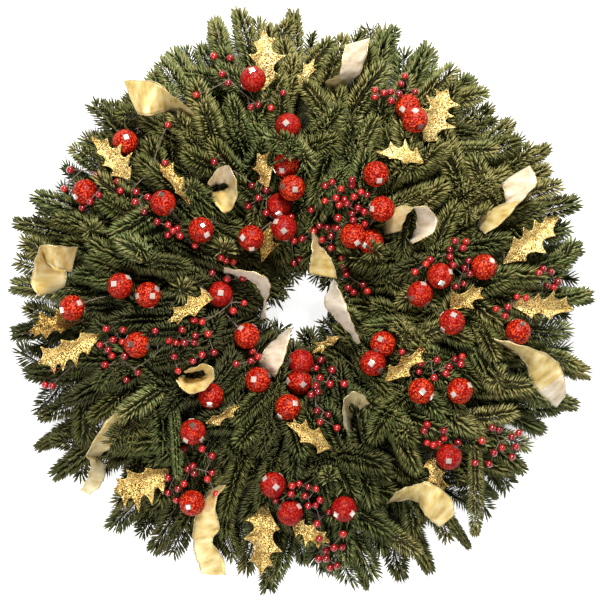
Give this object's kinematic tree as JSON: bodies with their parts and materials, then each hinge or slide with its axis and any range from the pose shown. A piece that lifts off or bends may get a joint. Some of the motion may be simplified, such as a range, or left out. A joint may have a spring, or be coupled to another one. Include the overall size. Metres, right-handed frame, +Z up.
{
  "type": "wreath",
  "caption": "Round fir wreath with beaded red balls, red berries, gold holly leaves and curled gold ribbon, on a wire clamp ring.",
  "frame": {"origin": "on the surface that the wreath lies on, under the middle of its outline", "axes": "+Z up out of the decorated face, +Y to the wreath's top as it hangs, +X to its right as seen from the front"},
  "size_m": [0.6499, 0.6499, 0.1368],
  "materials": {
    "ring_wire": "dark green paint on welded wire",
    "fir": "dark green needles on slim brown-green shoots, matte to satin",
    "red_beads": "bright red beaded balls with small mirror facets and glossy crimson berries on thin wires",
    "gold_glitter": "coarse gold glitter",
    "champagne_satin": "champagne gold satin with a bright wired edge and a paler back"
  },
  "bodies": {
    "root": {"clamp_ring": "ring_wire", "fir_bunch_01": "fir", "fir_bunch_02": "fir", "fir_bunch_03": "fir", "fir_bunch_04": "fir", "fir_bunch_05": "fir", "fir_bunch_06": "fir", "fir_bunch_07": "fir", "fir_bunch_08": "fir", "fir_bunch_09": "fir", "fir_bunch_10": "fir", "fir_bunch_11": "fir", "fir_bunch_12": "fir", "holly_leaf_bottom": "gold_glitter", "holly_leaf_inner_top": "gold_glitter", "holly_leaf_left": "gold_glitter", "holly_leaf_left_inner": "gold_glitter", "holly_leaf_left_upper": "gold_glitter", "holly_leaf_lower": "gold_glitter", "holly_leaf_lower_left": "gold_glitter", "holly_leaf_lower_right": "gold_glitter", "holly_leaf_lower_right_outer": "gold_glitter", "holly_leaf_right": "gold_glitter", "holly_leaf_right_inner": "gold_glitter", "holly_leaf_right_upper": "gold_glitter", "holly_leaf_top": "gold_glitter", "holly_leaf_upper_left": "gold_glitter", "holly_leaf_upper_right": "gold_glitter", "pick_bottom": "red_beads", "pick_inner_top_right": "red_beads", "pick_left": "red_beads", "pick_left_inner": "red_beads", "pick_left_lower": "red_beads", "pick_left_upper": "red_beads", "pick_lower_left": "red_beads", "pick_lower_middle": "red_beads", "pick_lower_right": "red_beads", "pick_lower_right_outer": "red_beads", "pick_right": "red_beads", "pick_right_outer": "red_beads", "pick_top": "red_beads", "pick_top_centre": "red_beads", "pick_top_right": "red_beads", "pick_upper_left": "red_beads", "ribbon_bottom_left": "champagne_satin", "ribbon_bottom_right": "champagne_satin", "ribbon_hole_bottom": "champagne_satin", "ribbon_hole_left": "champagne_satin", "ribbon_hole_right": "champagne_satin", "ribbon_hole_top": "champagne_satin", "ribbon_inner_bottom": "champagne_satin", "ribbon_inner_left": "champagne_satin", "ribbon_inner_top_left": "champagne_satin", "ribbon_inner_top_right": "champagne_satin", "ribbon_left_upper": "champagne_satin", "ribbon_lower_left": "champagne_satin", "ribbon_right_lower": "champagne_satin", "ribbon_right_upper": "champagne_satin", "ribbon_top": "champagne_satin", "ribbon_upper_left": "champagne_satin"}
  },
  "joints": []
}
